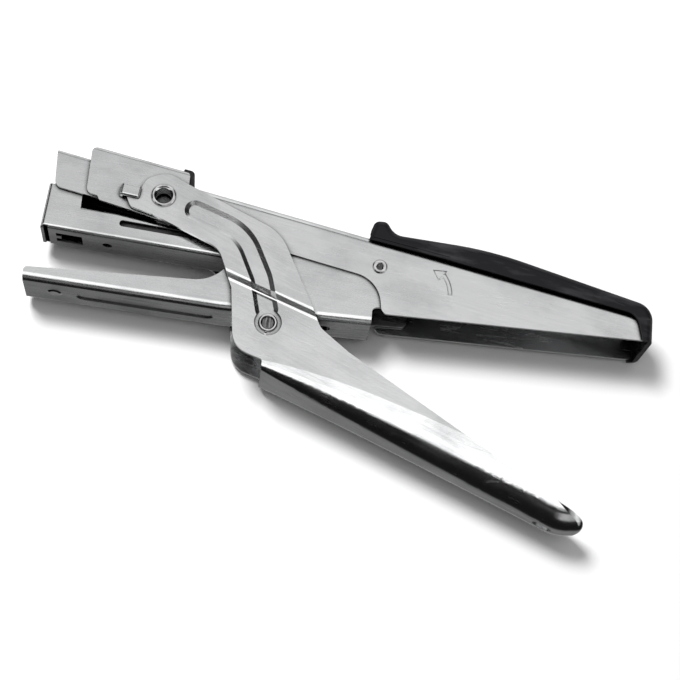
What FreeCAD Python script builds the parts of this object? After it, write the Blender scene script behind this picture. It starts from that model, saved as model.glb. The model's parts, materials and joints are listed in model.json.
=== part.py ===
"""Hand-held plier stapler, lying on its side.

All lengths are millimetres.  X runs from the jaws to the handle ends, Y from the
lower handle to the upper one, Z across the tool.  The shapes are drawn round the
lower pin: its axis is at X 0, Y 0, and Z 0 is the middle of the tool.  At the end
everything is moved so that the origin is under the middle of the whole tool.
"""

import FreeCAD
import Part
import math
import os

# ---------------------------------------------------------------- whole tool
MIDDLE_X = 21.71          # middle of the tool's length, seen from the lower pin
MIDDLE_Y = -0.86          # middle of its height
HALF_THICKNESS = 12.8     # from the middle to the outer face of the arm tabs
FAR = 400.0               # longer than anything in the tool

# ---------------------------------------------------------------- pivots
LOWER_PIN = (0.0, 0.0)
TOP_PIN = (-35.8, 37.3)
REAR_PIN = (32.8, 22.0)
COVER_PIN = (31.9, 34.3)

# ---------------------------------------------------------------- sheets
BODY_HALF = 9.8           # outer half width of the upper handle
BODY_SHEET = 0.9
ANVIL_HALF = 8.9          # the anvil arm's cheeks lie against the body's inside
ANVIL_SHEET = 1.1
LEVER_LOW_HALF = 10.4     # lower handle and the part of the arms beside the anvil
LEVER_HIGH_HALF = 11.6    # upper part of the arms, stepped out over the body
LEVER_SHEET = 1.2
MAG_HALF = 7.2
MAG_SHEET = 0.8
HOLDER_HALF = 8.6
HOLDER_SHEET = 0.9
CAP_HALF = 9.8
CAP_SHEET = 1.0
ARM_HALF = 6.0
ARM_SHEET = 1.0
COVER_HALF = 11.1
COVER_WALL = 1.0
COVER_PIN_RADIUS = 0.8

# ---------------------------------------------------------------- lines
TOP_SLOPE = -0.192        # top of the body, cap and driver arm
BODY_TOP_AT_FRONT = 42.5
BODY_FRONT = -26.8
BODY_REAR = 116.6
BODY_BOTTOM = 6.7
ANVIL_FRONT = -75.5
ANVIL_BOTTOM = 3.5
HANDLE_SLOPE = -0.424     # underside of the lower handle

# ---------------------------------------------------------------- magazine
MAG_FRONT = (-72.6, 24.95)            # front lower corner
MAG_TILT = math.degrees(math.atan(0.0705))
MAG_LENGTH = 109.6
RAIL_HALF = 5.3
RAIL_TOP = 6.4
STAPLE_HALF = 6.3
STAPLE_TOP = 6.95
STRIP_FRONT = 2.4
STRIP_REAR = 22.0
PUSHER_FRONT = 22.4
PUSHER_REAR = 35.0

# ---------------------------------------------------------------- fits
RUNNING = 0.05            # radial clearance of a turning pin


# ---------------------------------------------------------------- drawing helpers
def point(x, y, z=0.0):
    return FreeCAD.Vector(x, y, z)


def fillet_arc(before, corner, after, radius):
    """Start, middle and end of the arc that rounds one corner."""
    to_before = (before - corner).normalize()
    to_after = (after - corner).normalize()
    half = to_before.getAngle(to_after) / 2.0
    reach = radius / math.tan(half)
    centre_way = (to_before + to_after).normalize()
    centre = corner + centre_way * (radius / math.sin(half))
    return (corner + to_before * reach, centre - centre_way * radius,
            corner + to_after * reach)


def outline(corners, z=0.0):
    """Closed wire through corners given as (x, y) or (x, y, radius)."""
    spots = [point(c[0], c[1], z) for c in corners]
    radii = [c[2] if len(c) > 2 else 0.0 for c in corners]
    pieces = []
    for i, spot in enumerate(spots):
        before = spots[i - 1]
        after = spots[(i + 1) % len(spots)]
        if radii[i] > 0.0:
            pieces.append(fillet_arc(before, spot, after, radii[i]))
        else:
            pieces.append((spot, None, spot))
    edges = []
    for i, (start, middle, end) in enumerate(pieces):
        if middle is not None:
            edges.append(Part.Arc(start, middle, end).toShape())
        following = pieces[(i + 1) % len(pieces)][0]
        if end.distanceToPoint(following) > 1e-6:
            edges.append(Part.makeLine(end, following))
    return Part.Wire(edges)


def prism(corners, z_from, z_to):
    face = Part.Face(outline(corners, z_from))
    return face.extrude(point(0, 0, z_to - z_from))


def box(x, y, z):
    """Box from three (low, high) pairs."""
    return Part.makeBox(x[1] - x[0], y[1] - y[0], z[1] - z[0],
                        point(x[0], y[0], z[0]))


def cross_bar(x, y, radius, z_from, z_to):
    """Round bar across the tool."""
    return Part.makeCylinder(radius, z_to - z_from, point(x, y, z_from), point(0, 0, 1))


def mirrored(shape):
    return shape.mirror(point(0, 0, 0), point(0, 0, 1))


def both_sides(shape):
    """The shape and its mirror image across the middle plane, as one group."""
    return Part.makeCompound([shape, mirrored(shape)])


def joined(shapes):
    result = shapes[0]
    for shape in shapes[1:]:
        result = result.fuse(shape)
    return result.removeSplitter()


def across(corners, origin, way):
    """Very long bar; its section is drawn from origin along way and along Z."""
    face = Part.Face(outline(corners))
    length = math.hypot(way[0], way[1])
    c, d = way[0] / length, way[1] / length
    place = FreeCAD.Matrix(c, 0, d, origin[0], d, 0, -c, origin[1], 0, 1, 0, 0, 0, 0, 0, 1)
    face.Placement = FreeCAD.Placement(place)
    bar = face.extrude(point(d, -c, 0) * (2 * FAR))
    bar.translate(point(-d, c, 0) * FAR)
    return bar


def folded_slab(start, slope, half, radius, side):
    """Everything on one side (+1 above, -1 below) of a sloping line, with round folds."""
    section = [(0, -half, radius), (FAR, -half), (FAR, half), (0, half, radius)]
    return across(section, start, (-slope * side, side))


def along(start, slope, x):
    """Height at x of the line of this slope through start."""
    return start[1] + slope * (x - start[0])


def top_line(x, drop=0.0):
    """Height of the body's top at x, or of a line this far under it."""
    level = BODY_TOP_AT_FRONT + TOP_SLOPE * (x - BODY_FRONT)
    return level - drop / math.cos(math.atan(TOP_SLOPE))


def tube(x, y, outer, bore, z_from, z_to):
    wall = cross_bar(x, y, outer, z_from, z_to)
    return wall.cut(cross_bar(x, y, bore, z_from - 1, z_to + 1))


def rolled_rivet(x, y, profile):
    """Solid turned about the cross axis at (x, y); profile is (radius, z) pairs."""
    spots = [point(r, 0, z) for r, z in profile]
    wire = Part.makePolygon(spots + [spots[0]])
    solid = Part.Face(wire).revolve(point(0, 0, 0), point(0, 0, 1), 360)
    solid.translate(point(x, y, 0))
    return solid


# ---------------------------------------------------------------- upper handle
def body_lower_edge():
    """Corners of the body's open lower edge, from its rear end to its front."""
    return [
        (BODY_REAR, BODY_BOTTOM, 1.0),
        (34.4, BODY_BOTTOM, 2.2),
        (32.8, 17.7, 10.0),
        (BODY_FRONT, 29.6, 1.0),
    ]


def arrow_mark():
    """Curved arrow pressed into the near side: a bent tail and a pointed head."""
    centre = (43.6, 14.6)
    inner, outer = 10.85, 12.15
    low, high = BODY_HALF - 0.15, BODY_HALF + 1
    ring = tube(centre[0], centre[1], outer, inner, low, high)
    sector = prism([centre, (centre[0] + 30, centre[1] + 1.2), (centre[0] + 30, centre[1] + 23.0)],
                   low, high)
    head = prism([(49.4, 22.8), (51.2, 19.6), (53.7, 22.9)], low, high)
    return joined([ring.common(sector), head])


def body_shell():
    corners = [
        (BODY_FRONT, top_line(BODY_FRONT), 1.0),
    ] + list(reversed(body_lower_edge())) + [(BODY_REAR, top_line(BODY_REAR), 6.0)]
    corner = (BODY_FRONT, top_line(BODY_FRONT))
    outer = prism(corners, -20, 20).common(
        folded_slab(corner, TOP_SLOPE, BODY_HALF, 2.5, -1))
    under = (BODY_FRONT, top_line(BODY_FRONT, BODY_SHEET))
    shell = outer.cut(folded_slab(under, TOP_SLOPE, BODY_HALF - BODY_SHEET, 1.6, -1))
    shell = shell.cut(cross_bar(REAR_PIN[0], REAR_PIN[1], 2.0, -20, 20))
    for x, y in SPOT_RIVETS:
        shell = shell.cut(cross_bar(x, y, 1.4, -20, 20))
    return shell.cut(arrow_mark())


# ---------------------------------------------------------------- anvil arm
SPOT_RIVETS = [(-9.0, 30.6), (-4.2, 27.4)]


ANVIL_SLOPE = -0.0529     # underside of the arm's front part
ANVIL_KINK = (-15.0, ANVIL_BOTTOM)


def anvil_room(half, radius, lift):
    """Everything above the arm's underside, raised by lift, between two planes."""
    front = folded_slab((ANVIL_KINK[0], ANVIL_KINK[1] + lift), ANVIL_SLOPE, half, radius, 1)
    rear = folded_slab((ANVIL_KINK[0], ANVIL_KINK[1] + lift), 0.0, half, radius, 1)
    return front.common(rear)


def anvil_underside(x):
    return along(ANVIL_KINK, ANVIL_SLOPE, x)


def anvil_arm():
    corners = [
        (ANVIL_FRONT, -20),
        (31.5, -20),
        (31.5, 8.9, 1.6),
        (44.0, 9.4, 2.0),
        (44.0, 23.2, 4.0),
        (-11.2, 33.8, 2.0),
        (-13.4, 12.2, 12.0),
        (ANVIL_FRONT, 10.6, 1.2),
    ]
    outer = prism(corners, -20, 20).common(anvil_room(ANVIL_HALF, 2.2, 0.0))
    arm = outer.cut(anvil_room(ANVIL_HALF - ANVIL_SHEET, 1.1, ANVIL_SHEET))
    arm = arm.cut(cross_bar(REAR_PIN[0], REAR_PIN[1], 2.0, -20, 20))
    for x, y in SPOT_RIVETS:
        arm = arm.cut(cross_bar(x, y, 1.4, -20, 20))
    arm = arm.cut(leaning_bar(-66.1, 1.4, -5, 15))
    arm = arm.cut(standing_bar(17.4, 2.1, 0, 8))
    return arm.cut(stiffening_groove())


def leaning_bar(x, radius, low, high):
    """Round bar square to the arm's front underside at x, from low to high."""
    way = point(-ANVIL_SLOPE, 1, 0).normalize()
    start = point(x, anvil_underside(x), 0) + way * low
    return Part.makeCylinder(radius, high - low, start, way)


def standing_bar(x, radius, y_from, y_to, z=0.0):
    """Round bar standing along Y."""
    return Part.makeCylinder(radius, y_to - y_from, point(x, y_from, z), point(0, 1, 0))


def stiffening_groove():
    """Long shallow groove along the arm's underside, its side walls sloping."""
    x_from, x_to = -57.0, -19.5
    middle = ((x_from + x_to) / 2, anvil_underside((x_from + x_to) / 2))

    def level(half_width, depth):
        reach = (x_to - x_from) / 2 + half_width
        radius = half_width * 0.999
        wire = outline([
            (-reach, -half_width, radius), (reach, -half_width, radius),
            (reach, half_width, radius), (-reach, half_width, radius),
        ])
        wire.rotate(point(0, 0, 0), point(1, 0, 0), -90)
        wire.translate(point(0, depth, 0))
        wire.rotate(point(0, 0, 0), point(0, 0, 1), math.degrees(math.atan(ANVIL_SLOPE)))
        wire.translate(point(middle[0], middle[1], 0))
        return wire

    return Part.makeLoft([level(2.9, -0.1), level(2.0, 0.5)], True, True)


def on_anvil_floor(shape, x):
    """Stand a shape drawn round the origin on the arm's floor at x."""
    shape.rotate(point(0, 0, 0), point(0, 0, 1), math.degrees(math.atan(ANVIL_SLOPE)))
    way = point(-ANVIL_SLOPE, 1, 0).normalize()
    lift = way * ANVIL_SHEET
    shape.translate(point(x, anvil_underside(x), 0) + lift)
    return shape


def anvil_die():
    """Clinching plate on the arm's floor, with two curved troughs for the staple legs."""
    plate = box((-9.0, 4.8), (0, 1.6), (-6.6, 6.6))
    for side in (1, -1):
        trough = Part.makeCylinder(2.6, 2.0, point(-6.2, 3.6, side * 3.6), point(1, 0, 0))
        plate = plate.cut(trough)
    plate = plate.cut(standing_bar(0.0, 1.4, -5, 8))
    return on_anvil_floor(plate, -66.1)


def die_rivet():
    """Rivet that holds the die: a low head under the arm and a flush end above."""
    bar = standing_bar(0, 1.4, -ANVIL_SHEET, 1.6)
    head = Part.makeCone(1.7, 2.3, 0.35, point(0, -ANVIL_SHEET - 0.35, 0), point(0, 1, 0))
    return on_anvil_floor(joined([bar, head]), -66.1)


def spot_rivets():
    """Flush rivets that join the body to the anvil arm's cheeks."""
    bars = []
    for x, y in SPOT_RIVETS:
        bars.append(cross_bar(x, y, 1.4, ANVIL_HALF - ANVIL_SHEET, BODY_HALF))
    return both_sides(Part.makeCompound(bars))


def rear_pin():
    """Hollow rivet on which the driver arm and the magazine turn."""
    head = BODY_HALF + 0.6
    profile = [
        (1.1, -head + 0.2), (1.3, -head), (1.9, -head), (2.3, -BODY_HALF), (2.0, -BODY_HALF),
        (2.0, BODY_HALF), (2.3, BODY_HALF), (1.9, head), (1.3, head), (1.1, head - 0.2),
    ]
    return rolled_rivet(REAR_PIN[0], REAR_PIN[1], profile)


def return_spring():
    """Coil round the rear pin, one leg under the driver arm and one on the anvil floor."""
    wire = 0.5
    mean = 3.0
    pitch = 1.25
    lower_way = math.radians(-155.8)
    upper_way = math.radians(163.3)
    lower_angle = lower_way + math.pi / 2
    upper_angle = upper_way - math.pi / 2
    turns = 5 + (upper_angle - lower_angle) / (2 * math.pi)
    height = pitch * turns
    coil = Part.makeHelix(pitch, height, mean)
    circle = Part.Wire(Part.makeCircle(wire, point(mean, 0, 0), point(0, 1, 0)))
    solid = Part.Wire(coil.Edges).makePipeShell([circle], True, True)
    solid.rotate(point(0, 0, 0), point(0, 0, 1), math.degrees(lower_angle))
    legs = []
    for angle, way, z, reach in ((lower_angle, lower_way, 0.0, 33.0),
                                 (upper_angle, upper_way, height, 27.0)):
        start = point(mean * math.cos(angle), mean * math.sin(angle), z)
        legs.append(Part.makeCylinder(wire, reach, start,
                                      point(math.cos(way), math.sin(way), 0)))
    spring = joined([solid] + legs)
    spring.translate(point(REAR_PIN[0], REAR_PIN[1], -height / 2))
    return spring


# ---------------------------------------------------------------- black cover
def hinge_bracket():
    """Strap on the body's roof whose standing ear carries the cover's pin."""
    foot = [
        (24.0, top_line(24.0)),
        (34.0, top_line(34.0)),
        (34.0, top_line(34.0, -0.9)),
        (24.0, top_line(24.0, -0.9)),
    ]
    ear = [
        (29.9, top_line(29.9)),
        (33.9, top_line(33.9)),
        (COVER_PIN[0] + 1.85, COVER_PIN[1] + 1.85, 1.8),
        (COVER_PIN[0] - 1.85, COVER_PIN[1] + 1.85, 1.8),
    ]
    bracket = joined([prism(foot, -4.2, 4.2), prism(ear, -2.4, 2.4)])
    bore = COVER_PIN_RADIUS + RUNNING
    return bracket.cut(cross_bar(COVER_PIN[0], COVER_PIN[1], bore, -20, 20))


def cover_pin():
    """Steel pin pressed into the cover's two knuckles."""
    return cross_bar(COVER_PIN[0], COVER_PIN[1], COVER_PIN_RADIUS, -9.4, 9.4)


def cover_outline():
    """Side view of the cover: knuckle bump, arched back and rounded tail."""
    return [
        (28.2, 30.6),
        (30.4, 37.5, 2.0),
        (34.1, 37.5, 1.9),
        (36.9, 33.4, 5.0),
        (67.0, 31.6, 120.0),
        (119.0, 18.2, 6.0),
        (118.8, 6.3),
        (115.6, 6.3),
        (113.8, 14.6, 5.0),
        (107.0, 15.9),
        (52.2, 26.5),
    ]


def rounded_back(shape, radius):
    """Round both long top edges of the cover from its front foot to its tail."""
    picked = []
    for edge in shape.Edges:
        first = edge.valueAt(edge.FirstParameter)
        last = edge.valueAt(edge.LastParameter)
        across_tool = abs(first.z - last.z) > 1e-4
        high = min(first.y, last.y) > 19.0 and first.x > 40.0 and last.x > 40.0
        if high and not across_tool:
            picked.append(edge)
    return shape.makeFillet(radius, picked)


def loading_cover():
    outer = rounded_back(prism(cover_outline(), -COVER_HALF, COVER_HALF), 2.6)
    half = COVER_HALF - COVER_WALL
    hollow = prism([
        (36.6, -20),
        (BODY_REAR + 0.7, -20),
        (BODY_REAR + 0.7, top_line(BODY_REAR) + 1.0, 4.0),
        (67.0, 29.6, 100.0),
        (38.4, 31.7, 2.0),
    ], -half, half)
    x, y = COVER_PIN
    front = prism([
        (10, -20),
        (37.0, -20),
        (37.0, top_line(37.0, -0.35)),
        (x, top_line(x, -0.35)),
        (x, y),
        (10, y),
    ], -half, half).cut(cross_bar(x, y, 2.4, -half, half))
    roof_gap = prism([(10, -20), (40.0, -20), (40.0, top_line(40.0, -0.35)),
                      (10, top_line(10, -0.35))], -half, half)
    pocket = prism([
        (22.0, 25.0),
        (x + 2.6, 25.0),
        (x + 2.6, y + 0.6),
        (x + 1.0, y + 2.15),
        (22.0, y + 2.15),
    ], -4.6, 4.6)
    cover = outer.cut(hollow).cut(front).cut(roof_gap).cut(pocket)
    return cover.cut(cross_bar(x, y, COVER_PIN_RADIUS, -9.4, 9.4))


# ---------------------------------------------------------------- driver head
def driver_arm():
    """Long channel from the rear pin to the jaws, open downwards."""
    x, y = REAR_PIN
    eye = 3.3
    bend = -28.0
    rear = (24.5, top_line(24.5, 1.5))
    corners = [
        (-66.4, holder_top(-66.4, HOLDER_SHEET), 0.6),
        (-66.4, 41.0, 2.0),
        (-58.0, 38.9, 2.0),
        (-40.0, 36.3, 8.0),
        (-8.0, 31.2, 8.0),
        (20.0, 27.0, 6.0),
        (x - eye, y - eye, eye - 0.01),
        (x + eye, y - eye, eye - 0.01),
        (x + eye, y + eye, eye - 0.01),
        (rear[0], rear[1], 2.0),
        (bend, holder_top(bend, HOLDER_SHEET)),
    ]
    outer = prism(corners, -ARM_HALF, ARM_HALF)
    under_bend = (bend, holder_top(bend, HOLDER_SHEET + ARM_SHEET))
    slope = (rear[1] - holder_top(bend, HOLDER_SHEET)) / (rear[0] - bend)
    room = [
        (-80, holder_top(-80, HOLDER_SHEET + ARM_SHEET)),
        (-80, -40),
        (80, -40),
        (80, along(under_bend, slope, 80)),
        under_bend,
    ]
    half = ARM_HALF - ARM_SHEET
    arm = outer.cut(prism(room, -half, half))
    arm = arm.cut(cross_bar(x, y, 2.0 + RUNNING, -20, 20))
    return arm.cut(tilted_bars(1.5))


HOLDER_RIVETS = (-62.0, -45.0)


HOLDER_SLOPE = -0.2
CAP_SLOPE = -0.183


def holder_top(x, drop=0.0):
    """Height of the driver holder's roof at x, or of a line this far under it."""
    return 50.7 + HOLDER_SLOPE * (x + 70.3) - drop * math.hypot(1, HOLDER_SLOPE)


def tilted_bars(radius, low=-3.0, high=3.0):
    """Round bars square to the holder's roof at each of its rivets."""
    bars = []
    for x in HOLDER_RIVETS:
        start = point(x, holder_top(x) + low, 0)
        bars.append(Part.makeCylinder(radius, high - low, start, point(0.196, 0.98, 0)))
    return Part.makeCompound(bars)


def driver_holder():
    """Inverted channel that straddles the magazine and carries the blade."""
    corners = [
        (-70.3, holder_top(-70.3), 0.6),
        (-69.7, 38.2, 2.6),
        (-30.2, 30.4, 2.0),
        (-30.2, holder_top(-30.2), 2.0),
    ]
    outer = prism(corners, -20, 20).common(
        folded_slab((-70.3, holder_top(-70.3)), HOLDER_SLOPE, HOLDER_HALF, 1.3, -1))
    under = (-70.3, holder_top(-70.3, HOLDER_SHEET))
    half = HOLDER_HALF - HOLDER_SHEET
    holder = outer.cut(folded_slab(under, HOLDER_SLOPE, half, 0.5, -1))
    holder = holder.cut(cross_bar(TOP_PIN[0], TOP_PIN[1], 3.1, -20, 20))
    return holder.cut(tilted_bars(1.5))


def holder_rivets():
    """Two rivets through the holder's roof and the driver arm's roof."""
    rivets = []
    for x in HOLDER_RIVETS:
        way = point(0.19611614, 0.98058068, 0)
        base = point(x, holder_top(x), 0)
        shank = Part.makeCylinder(1.5, 1.93, base - way * 1.93, way)
        head = Part.makeCone(2.6, 1.9, 0.7, base, way)
        rivets.append(joined([shank, head]))
    return Part.makeCompound(rivets)


def cap_top(x, drop=0.0):
    """Height of the cap's roof at x, or of a line this far under it."""
    return 52.3 + CAP_SLOPE * (x + 56.4) - drop * math.hypot(1, CAP_SLOPE)


def driver_cap():
    """Hood over the holder, with the arm tab bent out of each side."""
    corners = [
        (-59.6, cap_top(-59.6), 2.2),
        (-59.7, 36.7, 2.0),
        (-56.2, 35.9, 0.7),
        (-55.5, 34.5, 0.9),
        (-28.5, 28.4, 1.2),
        (-28.5, cap_top(-28.5), 2.2),
    ]
    outer = prism(corners, -20, 20).common(
        folded_slab((-56.4, cap_top(-56.4)), CAP_SLOPE, CAP_HALF, 1.5, -1))
    half = CAP_HALF - CAP_SHEET
    under = (-56.4, cap_top(-56.4, CAP_SHEET))
    cap = outer.cut(folded_slab(under, CAP_SLOPE, half, 0.6, -1))
    cap = cap.cut(box((-70, -56.4), (47, 60), (-half, half)))
    cap = cap.cut(box((-31.0, -20), (40, 60), (-half, half)))
    cap = cap.cut(cross_bar(TOP_PIN[0], TOP_PIN[1], 3.1, -20, 20))
    tab = arm_tab()
    return joined([cap, tab, mirrored(tab)])


def arm_tab():
    """Tab bent out of the near cheek and back along it, over the arm's nose."""
    x_root = -49.6
    x_end = -42.9
    z_face = HALF_THICKNESS
    rising = [
        (x_root, CAP_HALF - 0.3),
        (x_root + 1.1, CAP_HALF - 0.3),
        (x_root + 1.5, z_face - 1.0, 0.3),
        (x_end, z_face - 1.0),
        (x_end, z_face, 0.7),
        (x_root + 0.6, z_face, 1.0),
    ]
    bent = Part.Face(outline(rising))
    bent.rotate(point(0, 0, 0), point(1, 0, 0), 90)
    tab = bent.extrude(point(0, 4.0, 0))
    rims = [e for e in tab.Edges
            if e.BoundBox.ZMin > z_face - 0.01 and e.BoundBox.XLength > 4.0]
    tab = tab.makeFillet(0.7, rims)
    tab.translate(point(0, 35.7, 0))
    tab.rotate(point(-46.0, 37.6, 0), point(0, 0, 1), -7.0)
    return tab


def top_rivets():
    """Two hollow rivets, one each side, on which the lever's arms turn."""
    inside = HOLDER_HALF - HOLDER_SHEET
    out = LEVER_HIGH_HALF + 0.05
    head = out + 0.75
    profile = [
        (2.55, inside - 0.3), (3.6, inside - 0.3), (3.6, inside), (3.1, inside),
        (3.1, out), (3.72, out), (3.72, out + 0.35), (3.4, head), (2.95, head), (2.55, out + 0.2),
    ]
    near = rolled_rivet(TOP_PIN[0], TOP_PIN[1], profile)
    return both_sides(near)


def driver_blade():
    """Flat blade that pushes the first staple out through the magazine's slot."""
    blade = box((-0.3, 0.3), (0.0, 12.6), (-6.1, 6.1))
    blade = blade.fuse(box((-0.3, 1.2), (8.6, 16.6), (-4.8, 4.8))).removeSplitter()
    blade.rotate(point(0, 0, 0), point(0, 0, 1), -MAG_TILT - 4.2)
    foot = mag_spot(1.42, 7.9)
    blade.translate(point(foot[0], foot[1], 0))
    return blade


def buffer_block():
    """Black stop behind the holder, showing at the rear of the cap."""
    x_rear = -27.1
    corners = [
        (-33.6, holder_top(-33.6)),
        (-30.2, holder_top(-30.2)),
        (-30.2, 40.0),
        (x_rear, 40.0, 0.8),
        (x_rear, cap_top(x_rear) + 0.8, 1.5),
        (-30.6, cap_top(-30.6) + 0.8, 0.5),
        (-30.6, cap_top(-30.6, CAP_SHEET)),
        (-33.6, cap_top(-33.6, CAP_SHEET)),
    ]
    half = CAP_HALF - CAP_SHEET - 0.1
    block = prism(corners, -half, half)
    return block.cut(box((-40, -20), (30, 42.1), (-ARM_HALF - 0.2, ARM_HALF + 0.2)))


# ---------------------------------------------------------------- lower handle
JOGGLE_SPOT = (-1.6, 9.6)
JOGGLE_SLOPE = -0.363
JOGGLE_RUN = 1.0          # half the length over which the arm steps out
JOGGLE_BEND = 1.6         # radius of the step's two bends
GROOVE_TOP = 3.35         # half width of the pressed groove at the arm's face
GROOVE_FLOOR = 1.95       # half width of its floor
GROOVE_DEPTH = 0.8
GROOVE_PATH = [           # x, y, extra half width and bend radius along its middle
    (-25.6, 33.6, 0.0, 0.0), (-10.2, 28.1, 0.0, 16.0), (-3.3, 13.8, 0.1, 12.0),
    (-0.8, 4.2, 0.3, 0.0),
]
PIN_SEAT = 4.25           # radius of the round seat in which the groove ends, round the pin
HANDLE_START = (-0.7, -14.9)
FOLD_AT_START = 1.9       # outer radius of the handle's folds where its web begins
FOLD_AT_TIP = 8.6         # what that radius grows towards
FOLD_SPREAD = 34.0        # how far from the start most of the growth happens
FOLD_TOP = 12.6           # the sides are shaped up to this height over the web
SIDE_RISE = 1.5           # height of the sides' leaning part, in fold radii
SIDE_LEAN = 0.061         # how far that part leans in, for each millimetre of height
END_RIM = 2.6             # radius of the bowed rim at the very end
HANDLE_KINK_X = 92.6      # where the web curls up towards its round end
HANDLE_CURL = 14.0        # radius of that curl
HANDLE_TIP_SLOPE = 0.106
HANDLE_TIP = 8.4          # from the kink to the very end, along the curled tip


def handle_bottom(x, drop=0.0):
    return along(HANDLE_START, HANDLE_SLOPE, x) - drop * math.hypot(1, HANDLE_SLOPE)


def tip_bottom(x, drop=0.0):
    kink = (HANDLE_KINK_X, handle_bottom(HANDLE_KINK_X))
    return along(kink, HANDLE_TIP_SLOPE, x) - drop * math.hypot(1, HANDLE_TIP_SLOPE)


def lever_outline():
    """Side view of the whole lever: nose, S-shaped arm and tapering handle."""
    return [
        (-47.4, 36.6, 1.6),
        (-45.6, 32.7, 2.6),
        (-39.1, 31.05),
        (-17.2, 22.05, 7.5),
        (-12.1, 10.0),
        (-9.9, -9.0, 7.5),
        (HANDLE_START[0], handle_bottom(HANDLE_START[0]) + 2.9, 0.6),
        HANDLE_START,
        (HANDLE_KINK_X, handle_bottom(HANDLE_KINK_X), HANDLE_CURL),
        (103.0, tip_bottom(103.0)),
        (103.0, -52.0),
        (92.4, -47.4, 12.0),
        (25.4, -7.1, 16.0),
        (16.2, -0.2, 6.0),
        (1.3, 29.2, 15.0),
        (-29.0, 42.2),
        (-35.2, 45.3, 6.4),
        (-41.6, 42.6, 5.0),
        (-42.9, 39.0, 1.6),
    ]


def bent_slab(high, low):
    """Filled slab whose half width is high above the joggle line and low below it."""
    run, bend = JOGGLE_RUN, JOGGLE_BEND
    section = [
        (FAR, high), (run, high, bend), (-run, low, bend), (-FAR, low),
        (-FAR, -low), (-run, -low, bend), (run, -high, bend), (FAR, -high),
    ]
    return across(section, JOGGLE_SPOT, (-JOGGLE_SLOPE, 1))


def laid_on(shape, start, slope):
    """Move a shape drawn along X to a sloping line through start."""
    shape.rotate(point(0, 0, 0), point(0, 0, 1), math.degrees(math.atan(slope)))
    shape.translate(point(start[0], start[1], 0))
    return shape


def fold_radius(x):
    """Outer radius of the handle's folds at x along its underside."""
    return FOLD_AT_TIP - (FOLD_AT_TIP - FOLD_AT_START) * math.exp(-x / FOLD_SPREAD)


def trough(x, radius, trim):
    """Section of the handle's trough square to the X axis at x, its web on Y 0."""
    half = LEVER_LOW_HALF - trim
    high = HANDLE_CURL - 1.0
    lean_top = SIDE_RISE * radius
    foot = half - SIDE_LEAN * (lean_top - trim)
    wire = outline([(-half, high), (-half, lean_top), (-foot, trim, radius - trim),
                    (foot, trim, radius - trim), (half, lean_top), (half, high)])
    wire.rotate(point(0, 0, 0), point(0, 1, 0), -90)
    wire.translate(point(x, 0, 0))
    return wire


def handle_bars(trim):
    """The trough's filled inside in three lengths: straight, curl and tip."""
    kink = (HANDLE_KINK_X, handle_bottom(HANDLE_KINK_X))
    length = (HANDLE_KINK_X - HANDLE_START[0]) * math.hypot(1, HANDLE_SLOPE)
    turn = math.atan(HANDLE_TIP_SLOPE) - math.atan(HANDLE_SLOPE)
    reach = HANDLE_CURL * math.tan(turn / 2)
    end = length - reach
    places = [-4.0, 4.0, 12.0, 22.0, 34.0, 50.0, 70.0, end]
    straight = Part.makeLoft([trough(x, fold_radius(x), trim) for x in places], True, True)
    section = Part.Face(trough(end, fold_radius(end), trim))
    curl = section.revolve(point(end, HANDLE_CURL, 0), point(0, 0, 1), math.degrees(turn))
    tip = Part.Face(trough(reach, fold_radius(end), trim)).extrude(point(40, 0, 0))
    return [laid_on(straight, HANDLE_START, HANDLE_SLOPE),
            laid_on(curl, HANDLE_START, HANDLE_SLOPE),
            laid_on(tip, kink, HANDLE_TIP_SLOPE)]


def round_end_waste(trim):
    """What lies past the handle's round end, which is bowed up like a spoon."""
    kink = (HANDLE_KINK_X, handle_bottom(HANDLE_KINK_X))
    radius = LEVER_LOW_HALF - 0.5 * SIDE_LEAN * SIDE_RISE * FOLD_AT_TIP
    centre = HANDLE_TIP - radius
    bowl = Part.makeCylinder(radius - trim, 60, point(centre, trim, 0), point(0, 1, 0))
    rim = [e for e in bowl.Edges if e.BoundBox.YMax < trim + 0.01 and e.BoundBox.ZLength > 5]
    bowl = bowl.makeFillet(END_RIM - trim, rim)
    past = box((centre, centre + 60), (-30, 50), (-30, 30)).cut(bowl)
    return laid_on(past, kink, HANDLE_TIP_SLOPE)


def handle_waste(trim):
    """What is left over outside the handle's round folds and round end.

    trim is 0 for the outside of the sheet and the sheet's thickness for its inside.
    """
    zone = prism([
        (HANDLE_START[0], -90),
        (140, -90),
        (140, tip_bottom(140, -FOLD_TOP)),
        (HANDLE_KINK_X, handle_bottom(HANDLE_KINK_X, -FOLD_TOP)),
        (HANDLE_START[0], handle_bottom(HANDLE_START[0], -FOLD_TOP)),
    ], -30, 30)
    for bar in handle_bars(trim):
        zone = zone.cut(bar)
    return [zone, round_end_waste(trim)]


def lever_handle():
    """Lower handle and both arms, pressed from one sheet."""
    outer = prism(lever_outline(), -20, 20).common(
        bent_slab(LEVER_HIGH_HALF, LEVER_LOW_HALF))
    for waste in handle_waste(0.0):
        outer = outer.cut(waste)
    lever = outer.cut(lever_hollow())
    lever = lever.cut(cross_bar(TOP_PIN[0], TOP_PIN[1], 3.1 + RUNNING, -20, 20))
    lever = lever.cut(cross_bar(LOWER_PIN[0], LOWER_PIN[1], 2.3, -20, 20))
    for groove in pressed_groove():
        lever = lever.cut(groove).cut(mirrored(groove))
    seat = cross_bar(LOWER_PIN[0], LOWER_PIN[1], PIN_SEAT, LEVER_LOW_HALF - GROOVE_DEPTH, 20)
    lever = lever.cut(seat).cut(mirrored(seat))
    return lever.cut(hang_hole())


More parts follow.
